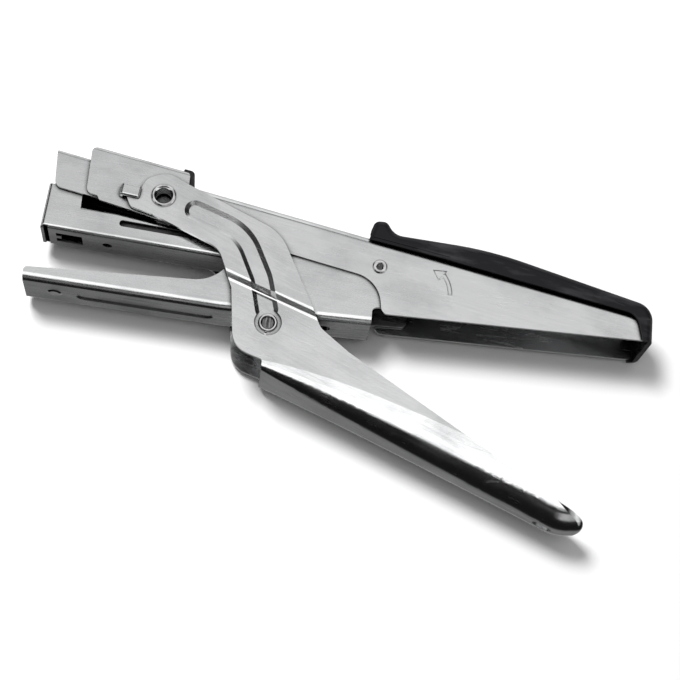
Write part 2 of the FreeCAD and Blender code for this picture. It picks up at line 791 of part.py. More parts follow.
def lever_hollow():
    """Room inside the lever, open upwards and in front of the handle's web."""
    corners = [
        (-90, 90),
        (-90, -90),
        (HANDLE_START[0], -90),
        (HANDLE_START[0], handle_bottom(HANDLE_START[0], -LEVER_SHEET)),
        (HANDLE_KINK_X, handle_bottom(HANDLE_KINK_X, -LEVER_SHEET), HANDLE_CURL - LEVER_SHEET),
        (140, tip_bottom(140, -LEVER_SHEET)),
        (140, 90),
    ]
    inner = prism(corners, -30, 30).common(
        bent_slab(LEVER_HIGH_HALF - LEVER_SHEET, LEVER_LOW_HALF - LEVER_SHEET))
    for waste in handle_waste(LEVER_SHEET):
        inner = inner.cut(waste)
    return inner


def off_joggle(shape, low, high):
    """The part of a shape between two distances from the joggle line."""
    way = math.hypot(1, JOGGLE_SLOPE)
    line = along(JOGGLE_SPOT, JOGGLE_SLOPE, 0)
    near, far = line + low * way, line + high * way
    band = [(-90, near - 90 * JOGGLE_SLOPE), (90, near + 90 * JOGGLE_SLOPE),
            (90, far + 90 * JOGGLE_SLOPE), (-90, far - 90 * JOGGLE_SLOPE)]
    return shape.common(prism(band, -30, 30))


def pressed_groove():
    """Groove with sloping walls that follows the arm, over the joggle, to the lower pin.

    The upper and lower lengths are level.  The one between them is sheared so that its
    floor keeps its depth down the joggle.
    """
    step = LEVER_HIGH_HALF - LEVER_LOW_HALF

    def length(level):
        wide = groove_wire(GROOVE_TOP, level + 0.02)
        narrow = groove_wire(GROOVE_FLOOR, level - GROOVE_DEPTH)
        return Part.makeLoft([wide, narrow], True, True)

    way = math.hypot(1, JOGGLE_SLOPE)
    rise = step / (2 * JOGGLE_RUN)
    shear = FreeCAD.Matrix(
        1, 0, 0, 0,
        0, 1, 0, 0,
        -rise * JOGGLE_SLOPE / way, rise / way, 1,
        -rise * along(JOGGLE_SPOT, JOGGLE_SLOPE, 0) / way,
        0, 0, 0, 1)
    middle = length(LEVER_HIGH_HALF - step / 2).transformGeometry(shear)
    return [
        off_joggle(length(LEVER_HIGH_HALF), JOGGLE_RUN, 60),
        off_joggle(middle, -JOGGLE_RUN, JOGGLE_RUN),
        off_joggle(length(LEVER_LOW_HALF), -60, -JOGGLE_RUN),
    ]


def groove_wire(half_width, z):
    """Closed wire on both sides of the groove's path, with round ends."""
    left = []
    right = []
    path = GROOVE_PATH
    for i, (x, y, extra, bend_radius) in enumerate(path):
        before = path[max(i - 1, 0)]
        after = path[min(i + 1, len(path) - 1)]
        turn_in = math.atan2(y - before[1], x - before[0])
        turn_out = math.atan2(after[1] - y, after[0] - x)
        half = half_width + extra
        shift = 0.0
        inside = outside = 0.999 * half
        if i == 0:
            turn_in = turn_out
            shift = -half
        elif i == len(path) - 1:
            turn_out = turn_in
            shift = half
        else:
            inside = bend_radius - half
            outside = bend_radius + half
        reach = half / math.cos((turn_out - turn_in) / 2)
        way = (turn_in + turn_out) / 2 + math.pi / 2
        base = (x + shift * math.cos(turn_out), y + shift * math.sin(turn_out))
        left.append((base[0] + reach * math.cos(way), base[1] + reach * math.sin(way), outside))
        right.append((base[0] - reach * math.cos(way), base[1] - reach * math.sin(way), inside))
    return outline(left + list(reversed(right)), z)


def hang_hole():
    """Oval hole through the handle's web near its tip."""
    angle = math.degrees(math.atan(HANDLE_SLOPE))
    slot = joined([
        Part.makeCylinder(1.7, 20, point(-1.4, -10, 0), point(0, 1, 0)),
        Part.makeCylinder(1.7, 20, point(1.4, -10, 0), point(0, 1, 0)),
        box((-1.4, 1.4), (-10, 10), (-1.7, 1.7)),
    ])
    slot.rotate(point(0, 0, 0), point(0, 0, 1), angle)
    slot.translate(point(88.2, handle_bottom(88.2), 0))
    return slot


def lower_pin():
    """Hollow rivet through both arms, with the roller on it."""
    out = LEVER_LOW_HALF - GROOVE_DEPTH
    head = out + 0.65
    half_profile = [(2.3, out), (2.9, out), (2.9, out + 0.3), (2.6, head), (2.2, head), (1.8, out)]
    profile = [(1.8, -out), (2.2, -head), (2.6, -head), (2.9, -out - 0.3), (2.9, -out),
               (2.3, -out)] + half_profile
    return rolled_rivet(0.0, 0.0, profile)


def roller():
    """Roller that runs along the anvil arm's underside."""
    return tube(0.0, 0.0, 3.15, 2.3 + RUNNING, -8.9, 8.9)


# ---------------------------------------------------------------- magazine
def mag_spot(u, v):
    """Place along (u) and above (v) the magazine's lower front corner."""
    angle = math.radians(-MAG_TILT)
    return (MAG_FRONT[0] + u * math.cos(angle) - v * math.sin(angle),
            MAG_FRONT[1] + u * math.sin(angle) + v * math.cos(angle))


def in_magazine(shape):
    """Move a shape drawn along the magazine into its place."""
    shape.rotate(point(0, 0, 0), point(0, 0, 1), -MAG_TILT)
    shape.translate(point(MAG_FRONT[0], MAG_FRONT[1], 0))
    return shape


def pivot_in_magazine():
    """The rear pin's place, measured along and above the magazine's corner."""
    angle = math.radians(MAG_TILT)
    x = REAR_PIN[0] - MAG_FRONT[0]
    y = REAR_PIN[1] - MAG_FRONT[1]
    return (x * math.cos(angle) - y * math.sin(angle),
            x * math.sin(angle) + y * math.cos(angle))


def magazine_channel():
    pu, pv = pivot_in_magazine()
    corners = [
        (0.0, 0.0),
        (MAG_LENGTH, 0.0, 3.0),
        (MAG_LENGTH, pv + 3.7, 3.6),
        (pu - 6.0, pv + 3.7, 2.0),
        (pu - 9.0, 7.4, 2.0),
        (39.0, 7.4, 10.0),
        (22.0, 8.8, 10.0),
        (11.0, 8.7),
        (10.6, 13.8, 0.8),
        (0.0, 14.6),
    ]
    block = prism(corners, -MAG_HALF, MAG_HALF)
    picked = []
    for edge in block.Edges:
        ends = [v.Point for v in edge.Vertexes]
        flat = all(abs(p.y) < 1e-4 for p in ends) and abs(ends[0].z - ends[1].z) < 1e-4
        front = all(abs(p.x) < 1e-4 for p in ends) and abs(ends[0].z - ends[1].z) < 1e-4
        if flat or front:
            picked.append(edge)
    block = block.makeFillet(1.2, picked)
    room = box((MAG_SHEET, 200), (MAG_SHEET, 60),
               (-(MAG_HALF - MAG_SHEET), MAG_HALF - MAG_SHEET))
    channel = block.cut(room)
    channel = channel.cut(box((0.95, 2.05), (-2, 3), (-6.35, 6.35)))
    channel = channel.cut(box((0.9, 2.3), (-2, 0.75), (-8, 8)))
    channel = channel.cut(box((4.6, 12.8), (-2, 3), (-3.2, 3.2)))
    channel = channel.fuse(box((4.0, 6.2), (0.0, MAG_SHEET), (-0.9, 0.9))).removeSplitter()
    channel = channel.cut(Part.makeCylinder(1.5, 4, point(20.6, -2, 0), point(0, 1, 0)))
    channel = channel.cut(box((13.0, 18.3), (8.0, 8.35), (-20, 20)))
    slot = [(23.7, 4.3, 1.0), (52.0, 4.1, 1.0), (52.0, 6.2, 1.0), (23.7, 6.4, 1.0)]
    channel = channel.cut(prism(slot, -20, 20))
    channel = channel.cut(box((pu - 26, pu + 1.0), (-2, 3), (-4.6, -2.0)))
    return in_magazine(channel.cut(cross_bar(pu, pv, 2.0 + RUNNING, -20, 20)))


def staple_rail():
    """Inner rail the staples straddle, slotted along its top for the pusher."""
    rail = box((3.0, 92.8), (MAG_SHEET, RAIL_TOP), (-RAIL_HALF, RAIL_HALF))
    rail = rail.cut(box((-10, 200), (-5, RAIL_TOP - 0.6), (-RAIL_HALF + 0.6, RAIL_HALF - 0.6)))
    rail = rail.cut(box((PUSHER_FRONT - 0.4, 90.0), (2, 12), (-1.2, 1.2)))
    return in_magazine(rail)


def staple_strip():
    """Strip of staples on the rail, the wires marked by fine notches along the crown."""
    strip = box((STRIP_FRONT, STRIP_REAR), (0.95, STAPLE_TOP), (-STAPLE_HALF, STAPLE_HALF))
    room = box((0, 200), (-5, STAPLE_TOP - 0.5), (-STAPLE_HALF + 0.5, STAPLE_HALF - 0.5))
    return in_magazine(strip.cut(room))


def pusher():
    """Plate behind the staples, with a tongue through the rail's slot to a slider."""
    front, rear = PUSHER_FRONT, PUSHER_REAR
    plate = box((front, rear), (RAIL_TOP + 0.15, 7.4), (-6.05, 6.05))
    tongue = box((front + 1.6, rear - 1.0), (5.0, RAIL_TOP + 0.4), (-0.85, 0.85))
    slider = box((front + 1.6, rear - 1.0), (1.5, 5.2), (-2.4, 2.4))
    block = joined([plate, tongue, slider])
    return in_magazine(block.cut(lengthwise_bar(0.8 + RUNNING, front - 5, rear + 5)))


def lengthwise_bar(radius, u_from, u_to, v=3.3):
    """Round bar along the magazine under the rail's roof."""
    return Part.makeCylinder(radius, u_to - u_from, point(u_from, v, 0), point(1, 0, 0))


def guide_rod():
    return in_magazine(lengthwise_bar(0.8, PUSHER_FRONT - 9.0, 97.5))


def rod_seat():
    """Block across the rail's rear end that holds the guide rod and the spring."""
    seat = box((96.2, 99.2), (MAG_SHEET, 5.7), (-4.6, 4.6))
    return in_magazine(seat.cut(lengthwise_bar(0.8, 90, 97.5)))


def pusher_spring():
    """Compression spring round the guide rod between the pusher and the seat."""
    wire = 0.28
    mean = 1.55
    turns = 34
    start = PUSHER_REAR - 0.9
    length = 96.1 - start - 2 * wire
    coil = Part.makeHelix(length / turns, length, mean)
    circle = Part.Wire(Part.makeCircle(wire, point(mean, 0, 0), point(0, 1, 0)))
    solid = Part.Wire(coil.Edges).makePipeShell([circle], True, True)
    solid.rotate(point(0, 0, 0), point(0, 1, 0), 90)
    solid.translate(point(start + wire, 3.3, 0))
    return in_magazine(solid)


# ---------------------------------------------------------------- export
NODES = {
    "body_shell": body_shell,
    "anvil_arm": anvil_arm,
    "anvil_die": anvil_die,
    "die_rivet": die_rivet,
    "spot_rivets": spot_rivets,
    "rear_pin": rear_pin,
    "return_spring": return_spring,
    "hinge_bracket": hinge_bracket,
    "cover_pin": cover_pin,
    "loading_cover": loading_cover,
    "driver_arm": driver_arm,
    "driver_holder": driver_holder,
    "holder_rivets": holder_rivets,
    "driver_cap": driver_cap,
    "top_rivets": top_rivets,
    "driver_blade": driver_blade,
    "buffer_block": buffer_block,
    "lever_handle": lever_handle,
    "lower_pin": lower_pin,
    "roller": roller,
    "magazine_channel": magazine_channel,
    "staple_rail": staple_rail,
    "staple_strip": staple_strip,
    "pusher": pusher,
    "guide_rod": guide_rod,
    "rod_seat": rod_seat,
    "pusher_spring": pusher_spring,
}


def main():
    os.makedirs("parts", exist_ok=True)
    for name, make in NODES.items():
        shape = make()
        shape.translate(point(-MIDDLE_X, -MIDDLE_Y, HALF_THICKNESS))
        shape.exportStep("parts/" + name + ".step")
        box_of = shape.BoundBox
        print(name, len(shape.Solids), shape.isValid(), round(shape.Volume, 2),
              [round(v, 2) for v in (box_of.XMin, box_of.XMax, box_of.YMin, box_of.YMax,
                                     box_of.ZMin, box_of.ZMax)])


main()
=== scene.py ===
import json
import math

import bpy
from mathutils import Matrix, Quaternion, Vector


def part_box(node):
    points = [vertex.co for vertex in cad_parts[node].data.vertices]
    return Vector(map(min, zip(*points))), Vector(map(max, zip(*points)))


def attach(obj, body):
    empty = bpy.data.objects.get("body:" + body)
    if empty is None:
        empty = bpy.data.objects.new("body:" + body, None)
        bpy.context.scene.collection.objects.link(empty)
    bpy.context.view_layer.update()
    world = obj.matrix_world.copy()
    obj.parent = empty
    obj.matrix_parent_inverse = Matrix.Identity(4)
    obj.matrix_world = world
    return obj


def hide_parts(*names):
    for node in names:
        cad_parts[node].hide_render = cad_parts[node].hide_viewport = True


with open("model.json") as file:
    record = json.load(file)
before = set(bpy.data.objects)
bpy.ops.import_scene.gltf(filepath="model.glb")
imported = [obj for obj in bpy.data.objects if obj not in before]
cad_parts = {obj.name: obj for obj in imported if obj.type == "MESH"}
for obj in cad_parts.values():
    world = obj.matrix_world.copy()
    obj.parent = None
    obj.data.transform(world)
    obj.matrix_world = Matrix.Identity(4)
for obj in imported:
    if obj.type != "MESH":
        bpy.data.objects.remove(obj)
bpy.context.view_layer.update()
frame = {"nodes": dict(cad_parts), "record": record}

MM = 0.001

# ---------------------------------------------------------------- camera
VIEW_AZIMUTH = math.radians(-9.68)
VIEW_ELEVATION = math.radians(70.55)
VIEW_ROLL = math.radians(14.96)
VIEW_DISTANCE = 0.5271
VIEW_TARGET = Vector((0.0012, 0.0011, 0.0128))
LENS = 90.0


def make_camera():
    """Long lens above the tool, turned so that the jaws point to the upper left."""
    flat = math.cos(VIEW_ELEVATION)
    back = Vector((math.sin(VIEW_AZIMUTH) * flat, -math.cos(VIEW_AZIMUTH) * flat,
                   math.sin(VIEW_ELEVATION)))
    data = bpy.data.cameras.new("camera")
    data.lens = LENS
    data.sensor_width = 36.0
    data.clip_start = 0.01
    camera = bpy.data.objects.new("camera", data)
    bpy.context.scene.collection.objects.link(camera)
    camera.location = VIEW_TARGET + back * VIEW_DISTANCE
    camera.rotation_mode = "QUATERNION"
    look = (-back).to_track_quat("-Z", "Y")
    camera.rotation_quaternion = look @ Quaternion((0, 0, 1), VIEW_ROLL)
    bpy.context.scene.camera = camera
    return camera


# ---------------------------------------------------------------- light and floor
CARD = 0.5                # brightness of the cards round the studio
DOME_ROWS = [             # (degrees round the X axis, brightness)
    (-180, 0.55), (-165, 0.12), (-150, 0.03), (-108, 0.03), (-99, 0.40), (-90, 0.40),
    (-80, 0.22), (-62, 0.18), (-50, 0.01), (54, 0.006), (62, 1.5), (96, 1.7),
    (107, 0.74), (124, 0.66), (131, 0.15), (139, 0.15), (147, 0.95), (166, 0.95),
    (180, 0.55),
]
FILL_ROWS = [
    (-180, CARD), (-118, CARD), (-110, 0.0), (6, 0.0), (13, CARD), (34, CARD), (41, 0.0),
    (180, 0.0),
]
KEY_PLACE = (-0.26, 0.26, 0.80)
KEY_SIDE = 0.26
KEY_WATTS = 12.0
FLOOR_HALF = 4.0
FLOOR_GREY = 0.62


def level_ramp(tree, share, rows):
    """Brightness by angle; rows are (degrees, level), share is the angle's part of a turn."""
    ramp = tree.nodes.new("ShaderNodeValToRGB")
    tree.links.new(share, ramp.inputs[0])
    stops = ramp.color_ramp.elements
    while len(stops) < len(rows):
        stops.new(0.5)
    for stop, (degrees, level) in zip(stops, rows):
        stop.position = (degrees + 180) / 360
        stop.color = (level, level, level, 1)
    return ramp.outputs[0]


def make_world():
    """Studio dome: light tent overhead, dark room beside it, grey table below.

    The dome's colour depends on the angle round the X axis: 0 is the horizon on the
    camera's side, 90 straight up, 180 the far horizon and -90 straight down.  It fades to
    black towards the left and the right.  Cards at both ends, on the camera's side and
    below the far side light the tool where it is seen from its ends or from behind.
    """
    world = bpy.data.worlds.new("studio")
    bpy.context.scene.world = world
    world.use_nodes = True
    tree = world.node_tree
    background = tree.nodes["Background"]
    place = tree.nodes.new("ShaderNodeTexCoord")
    split = tree.nodes.new("ShaderNodeSeparateXYZ")
    tree.links.new(place.outputs["Generated"], split.inputs[0])
    right = split.outputs["X"]
    toward = combined(tree, split.outputs["Y"], -1.0, "MULTIPLY")
    angle = combined(tree, split.outputs["Z"], toward, "ARCTAN2")
    share = ranged(tree, angle, 0.0, 1.0, -math.pi, math.pi)
    left = combined(tree, right, -1.0, "MULTIPLY")
    sideways = combined(tree, right, left, "MAXIMUM")
    open_part = ranged(tree, sideways, 1.0, 0.02, 0.36, 0.56)
    fill_part = combined(tree, ranged(tree, right, 0.0, 1.0, -0.2, -0.05),
                         ranged(tree, left, 0.0, 1.0, 0.58, 0.66), "MAXIMUM")
    dome = combined(tree, level_ramp(tree, share, DOME_ROWS), open_part, "MULTIPLY")
    fill = combined(tree, level_ramp(tree, share, FILL_ROWS), fill_part, "MULTIPLY")
    cards = combined(tree, fill, ranged(tree, sideways, 0.0, CARD, 0.84, 0.92))
    tree.links.new(combined(tree, dome, cards), background.inputs["Color"])


def soft_box(name, place, aim, side, power):
    data = bpy.data.lights.new(name, "AREA")
    data.shape = "RECTANGLE"
    data.size = side
    data.size_y = side
    data.energy = power
    light = bpy.data.objects.new(name, data)
    bpy.context.scene.collection.objects.link(light)
    light.location = place
    light.rotation_mode = "QUATERNION"
    light.rotation_quaternion = (Vector(aim) - Vector(place)).to_track_quat("-Z", "Y")
    return light


def make_lights():
    """One soft box that brightens the floor; the metal mirrors only the dome."""
    key = soft_box("key", KEY_PLACE, (0, 0, 0), KEY_SIDE, KEY_WATTS)
    key.visible_glossy = False


def make_floor():
    """Pale paper; the metal does not mirror it, so that its dark folds stay dark."""
    mesh = bpy.data.meshes.new("floor")
    corners = [(x * FLOOR_HALF, y * FLOOR_HALF, 0) for x, y in ((-1, -1), (1, -1), (1, 1), (-1, 1))]
    mesh.from_pydata(corners, [], [(0, 1, 2, 3)])
    floor = bpy.data.objects.new("floor", mesh)
    bpy.context.scene.collection.objects.link(floor)
    floor.visible_glossy = False
    material, tree, shader = new_material("floor", (FLOOR_GREY, FLOOR_GREY, FLOOR_GREY), 0.9)
    paper = noise(tree, object_place(tree), 400.0, 4.0)
    bump(tree, shader, [(paper, 0.00002)])
    mesh.materials.append(material)
    return floor


# ---------------------------------------------------------------- shader helpers
def new_material(name, colour, roughness, metallic=0.0):
    material = bpy.data.materials.new(name)
    material.use_nodes = True
    shader = material.node_tree.nodes["Principled BSDF"]
    shader.inputs["Base Color"].default_value = (*colour, 1)
    shader.inputs["Roughness"].default_value = roughness
    shader.inputs["Metallic"].default_value = metallic
    return material, material.node_tree, shader


def object_place(tree, degrees=0.0, stretch=(1.0, 1.0, 1.0)):
    """Place on the piece, turned about Z so that its first axis runs along the grain."""
    place = tree.nodes.new("ShaderNodeTexCoord")
    turn = tree.nodes.new("ShaderNodeMapping")
    turn.inputs["Rotation"].default_value = (0, 0, math.radians(-degrees))
    squeeze = tree.nodes.new("ShaderNodeMapping")
    squeeze.inputs["Scale"].default_value = stretch
    tree.links.new(place.outputs["Object"], turn.inputs["Vector"])
    tree.links.new(turn.outputs[0], squeeze.inputs["Vector"])
    return squeeze.outputs[0]


def noise(tree, place, scale, detail=3.0, roughness=0.5):
    texture = tree.nodes.new("ShaderNodeTexNoise")
    texture.inputs["Scale"].default_value = scale
    texture.inputs["Detail"].default_value = detail
    texture.inputs["Roughness"].default_value = roughness
    tree.links.new(place, texture.inputs["Vector"])
    return texture.outputs[0]


def ranged(tree, value, low, high, start=0.3, end=0.7):
    """Stretch the part of value from start to end over low to high."""
    node = tree.nodes.new("ShaderNodeMapRange")
    node.inputs["From Min"].default_value = start
    node.inputs["From Max"].default_value = end
    node.inputs["To Min"].default_value = low
    node.inputs["To Max"].default_value = high
    tree.links.new(value, node.inputs["Value"])
    return node.outputs[0]


def combined(tree, first, second, operation="ADD"):
    node = tree.nodes.new("ShaderNodeMath")
    node.operation = operation
    for socket, value in zip(node.inputs, (first, second)):
        if isinstance(value, float):
            socket.default_value = value
        else:
            tree.links.new(value, socket)
    return node.outputs[0]


def blended(tree, share, first, second):
    """Colour between first and second."""
    node = tree.nodes.new("ShaderNodeMix")
    node.data_type = "RGBA"
    tree.links.new(share, node.inputs[0])
    for socket, colour in zip((node.inputs[6], node.inputs[7]), (first, second)):
        if isinstance(colour, tuple):
            socket.default_value = (*colour, 1)
        else:
            tree.links.new(colour, socket)
    return node.outputs[2]


def bump(tree, shader, layers):
    """Stack bump layers, given as (height from 0 to 1, depth in metres)."""
    before = None
    for height, depth in layers:
        node = tree.nodes.new("ShaderNodeBump")
        node.inputs["Distance"].default_value = depth
        tree.links.new(height, node.inputs["Height"])
        if before is not None:
            tree.links.new(before, node.inputs["Normal"])
        before = node.outputs[0]
    tree.links.new(before, shader.inputs["Normal"])


def scratches(tree, degrees, scale):
    """1 on a few long thin lines near the grain's direction, 0 elsewhere."""
    place = object_place(tree, degrees, (0.06, 1.0, 1.0))
    texture = tree.nodes.new("ShaderNodeTexVoronoi")
    texture.feature = "DISTANCE_TO_EDGE"
    texture.inputs["Scale"].default_value = scale
    tree.links.new(place, texture.inputs["Vector"])
    line = ranged(tree, texture.outputs["Distance"], 1.0, 0.0, 0.0, 0.03)
    patches = ranged(tree, noise(tree, object_place(tree), 170.0, 2.0), 0.0, 1.0, 0.52, 0.62)
    return combined(tree, line, patches, "MULTIPLY")


def crevices(tree, reach):
    """0 in narrow corners and under overlapping edges, 1 on open faces."""
    node = tree.nodes.new("ShaderNodeAmbientOcclusion")
    node.samples = 8
    node.inputs["Distance"].default_value = reach
    return node.outputs["AO"]


def with_painted_shade(tree, tint):
    """Painted shade in the narrow corners, and painted shade deep inside the tool."""
    # Painted shade: the colour goes near black where the short occlusion reach finds a narrow
    # corner or an overlapping edge.
    corner_shade = ranged(tree, crevices(tree, 2.4 * MM), 0.0, 1.0, 0.52, 0.88)
    tint = blended(tree, corner_shade, (0.05, 0.05, 0.05), tint)
    # Painted shade: the colour goes near black deep inside the tool, where the long occlusion reach
    # is blocked.
    inside = ranged(tree, crevices(tree, 22.0 * MM), 0.0, 1.0, 0.20, 0.54)
    return blended(tree, inside, (0.02, 0.02, 0.02), tint)


def height_band(tree, start, end):
    """0 below the height start, 1 above the height end, counted on the piece at rest."""
    place = tree.nodes.new("ShaderNodeTexCoord")
    split = tree.nodes.new("ShaderNodeSeparateXYZ")
    tree.links.new(place.outputs["Object"], split.inputs[0])
    return ranged(tree, split.outputs["Z"], 0.0, 1.0, start, end)


# ---------------------------------------------------------------- materials
def sheet_metal(name, light, dark, rough, degrees, grain, ripple, strain=0.0):
    """Plated sheet: brush streaks along the grain, fine speckle, smudges, scratches, painted corner
    shade.

    grain and ripple are the depths of the speckle and of the sheet's slow waves; strain is
    the depth of the coarse grain that the press leaves along a deep fold.
    """
    material, tree, shader = new_material(name, light, rough[0], 1.0)
    streak = noise(tree, object_place(tree, degrees, (0.03, 1.0, 1.0)), 1500.0, 3.0, 0.6)
    clouds = noise(tree, object_place(tree, degrees, (0.6, 1.0, 1.0)), 70.0, 4.0, 0.6)
    speckle = noise(tree, object_place(tree), 2600.0, 2.0, 0.6)
    waves = noise(tree, object_place(tree, degrees, (0.4, 1.0, 1.0)), 130.0, 1.0)
    marks = scratches(tree, degrees + 8.0, 260.0)
    smudge = ranged(tree, clouds, 0.0, 1.0, 0.42, 0.66)
    shade = combined(tree, combined(tree, ranged(tree, streak, 0.0, 0.45), smudge),
                     ranged(tree, speckle, 0.0, 0.25))
    tint = blended(tree, ranged(tree, shade, 0.0, 1.0, 0.2, 1.5), light, dark)
    # Painted shade: the colour is darkened in narrow corners and deep inside the tool by an
    # occlusion term.
    tree.links.new(with_painted_shade(tree, tint), shader.inputs["Base Color"])
    gloss = combined(tree, ranged(tree, streak, rough[0], rough[1]),
                     ranged(tree, smudge, 0.0, 0.07, 0.0, 1.0))
    gloss = combined(tree, gloss, combined(tree, marks, 0.12, "MULTIPLY"))
    tree.links.new(gloss, shader.inputs["Roughness"])
    layers = [(waves, ripple), (streak, 0.000003), (speckle, grain), (marks, -0.000004)]
    if strain:
        far_side = combined(tree, 1.0, height_band(tree, 6.0 * MM, 14.0 * MM), "SUBTRACT")
        near_side = height_band(tree, 19.0 * MM, 22.5 * MM)
        pressed = combined(tree, far_side, near_side, "MAXIMUM")
        pebbles = noise(tree, object_place(tree), 2300.0, 2.0, 0.7)
        layers.append((combined(tree, pebbles, pressed, "MULTIPLY"), strain))
    bump(tree, shader, layers)
    return material


def turned_metal(name, light, dark, rough):
    """Rolled or turned part: bright, with fine rings, dirt and small dents."""
    material, tree, shader = new_material(name, light, rough[0], 1.0)
    rings = noise(tree, object_place(tree, 0.0, (1.0, 1.0, 4.0)), 700.0, 3.0)
    dirt = noise(tree, object_place(tree), 420.0, 4.0, 0.6)
    tint = blended(tree, ranged(tree, dirt, 0.0, 1.0, 0.45, 0.72), light, dark)
    tree.links.new(tint, shader.inputs["Base Color"])
    tree.links.new(ranged(tree, rings, rough[0], rough[1]), shader.inputs["Roughness"])
    bump(tree, shader, [(dirt, 0.00002), (rings, 0.000006)])
    return material


def hard_steel(name, light, dark, rough):
    """Hardened steel with heat colour clouds, grinding lines, specks of oxide and painted corner
    shade.
    """
    material, tree, shader = new_material(name, light, rough[0], 1.0)
    clouds = noise(tree, object_place(tree), 150.0, 4.0, 0.6)
    ground = noise(tree, object_place(tree, 0.0, (0.05, 1.0, 1.0)), 1800.0, 3.0)
    specks = ranged(tree, noise(tree, object_place(tree), 900.0, 2.0), 0.0, 1.0, 0.62, 0.7)
    shade = combined(tree, ranged(tree, clouds, 0.0, 1.0), specks, "MAXIMUM")
    # Painted shade: the colour is darkened in narrow corners and deep inside the tool by an
    # occlusion term.
    tint = with_painted_shade(tree, blended(tree, shade, light, dark))
    tree.links.new(tint, shader.inputs["Base Color"])
    gloss = combined(tree, ranged(tree, ground, rough[0], rough[1]),
                     combined(tree, specks, 0.2, "MULTIPLY"))
    tree.links.new(gloss, shader.inputs["Roughness"])
    bump(tree, shader, [(ground, 0.000005), (specks, -0.00001)])
    return material


def drawn_wire(name, light, dark, rough):
    """Wire with lengthwise die marks and a broken sheen."""
    material, tree, shader = new_material(name, light, rough[0], 1.0)
    marks = noise(tree, object_place(tree), 1900.0, 3.0, 0.6)
    patches = noise(tree, object_place(tree), 300.0, 3.0)
    tint = blended(tree, ranged(tree, patches, 0.0, 1.0), light, dark)
    tree.links.new(tint, shader.inputs["Base Color"])
    tree.links.new(ranged(tree, marks, rough[0], rough[1]), shader.inputs["Roughness"])
    bump(tree, shader, [(marks, 0.000005)])
    return material


def black_finish(name, light, dark, rough, peel, peel_depth):
    """Black moulding: slight peel, hairline wear, lighter rubbed patches."""
    material, tree, shader = new_material(name, dark, rough[0])
    shader.inputs["Specular IOR Level"].default_value = 0.1
    skin = noise(tree, object_place(tree), peel, 2.0)
    rubbed = noise(tree, object_place(tree, -8.0, (0.2, 1.0, 1.0)), 220.0, 5.0, 0.6)
    marks = scratches(tree, -14.0, 300.0)
    worn = ranged(tree, rubbed, 0.0, 1.0, 0.5, 0.75)
    share = combined(tree, worn, combined(tree, marks, 0.7, "MULTIPLY"), "MAXIMUM")
    tree.links.new(blended(tree, share, dark, light), shader.inputs["Base Color"])
    gloss = combined(tree, ranged(tree, rubbed, rough[0], rough[1]),
                     combined(tree, marks, 0.2, "MULTIPLY"))
    tree.links.new(gloss, shader.inputs["Roughness"])
    bump(tree, shader, [(skin, peel_depth), (marks, -0.000006)])
    return material


def make_materials():
    """One material for each slot of the record, and one more for the lever."""
    return {
        "chromed_sheet": sheet_metal("chromed_sheet", (0.82, 0.825, 0.83), (0.60, 0.605, 0.61),
                                     (0.15, 0.24), -11.0, 0.000002, 0.00005),
        "chromed_lever": sheet_metal("chromed_lever", (0.82, 0.825, 0.83), (0.58, 0.585, 0.59),
                                     (0.13, 0.20), -24.0, 0.000003, 0.00003, 0.000016),
        "satin_sheet": sheet_metal("satin_sheet", (0.74, 0.745, 0.75), (0.52, 0.525, 0.53),
                                   (0.20, 0.30), -5.0, 0.000004, 0.00005),
        "bright_pins": turned_metal("bright_pins", (0.88, 0.88, 0.88), (0.45, 0.45, 0.46),
                                    (0.07, 0.16)),
        "hardened_steel": hard_steel("hardened_steel", (0.30, 0.30, 0.31),
                                     (0.10, 0.10, 0.11), (0.28, 0.42)),
        "spring_steel": drawn_wire("spring_steel", (0.42, 0.42, 0.44), (0.18, 0.18, 0.19),
                                   (0.20, 0.34)),
        "black_gloss": black_finish("black_gloss", (0.035, 0.035, 0.037),
                                    (0.008, 0.008, 0.009), (0.10, 0.20), 900.0, 0.000006),
        "black_rubbery": black_finish("black_rubbery", (0.05, 0.05, 0.05),
                                      (0.012, 0.012, 0.012), (0.38, 0.55), 2200.0, 0.00002),
        "staple_wire": drawn_wire("staple_wire", (0.74, 0.74, 0.75), (0.48, 0.48, 0.49),
                                  (0.16, 0.28)),
    }


# ---------------------------------------------------------------- pieces
EDGE = 0.12 * MM          # radius of the sheets' broken edges
SHARP = math.radians(24)  # folds sharper than this are rounded as edges
STAPLES = 39
STAPLE_BEND = 0.8 * MM
BEND_STEPS = 4
RIB_RADIUS = 0.28 * MM
RIB_SLOPE = -0.171        # slope of the cover's lower edge
ARROW_RADIUS = 0.09 * MM
ARROW_CENTRE = (43.6, 14.6)                          # in millimetres from the lower pin
ARROW_BAND = (10.85, 12.15)                          # inner and outer radius of its tail
ARROW_HEAD = ((53.7, 22.9), (49.4, 22.8), (51.2, 19.6))
ARROW_SWEEP = (2.3, 37.5)                            # degrees round the centre
ARROW_STEPS = 8


def dress(node, material):
    """Give a carried-over node its material and finely rounded edges."""
    thing = frame["nodes"][node]
    thing.data.materials.clear()
    thing.data.materials.append(material)
    for polygon in thing.data.polygons:
        polygon.use_smooth = True
    merge = thing.modifiers.new("flat faces", "DECIMATE")
    merge.decimate_type = "DISSOLVE"
    merge.angle_limit = math.radians(0.5)
    bevel = thing.modifiers.new("edges", "BEVEL")
    bevel.width = EDGE
    bevel.segments = 2
    bevel.limit_method = "ANGLE"
    bevel.angle_limit = SHARP
    bevel.harden_normals = True
    weighted = thing.modifiers.new("normals", "WEIGHTED_NORMAL")
    weighted.keep_sharp = True


def dress_all(materials):
    for part in frame["record"]["subparts"]:
        slot = part["material_slot"]
        if part["node"] == "lever_handle":
            slot = "chromed_lever"
        dress(part["node"], materials[slot])


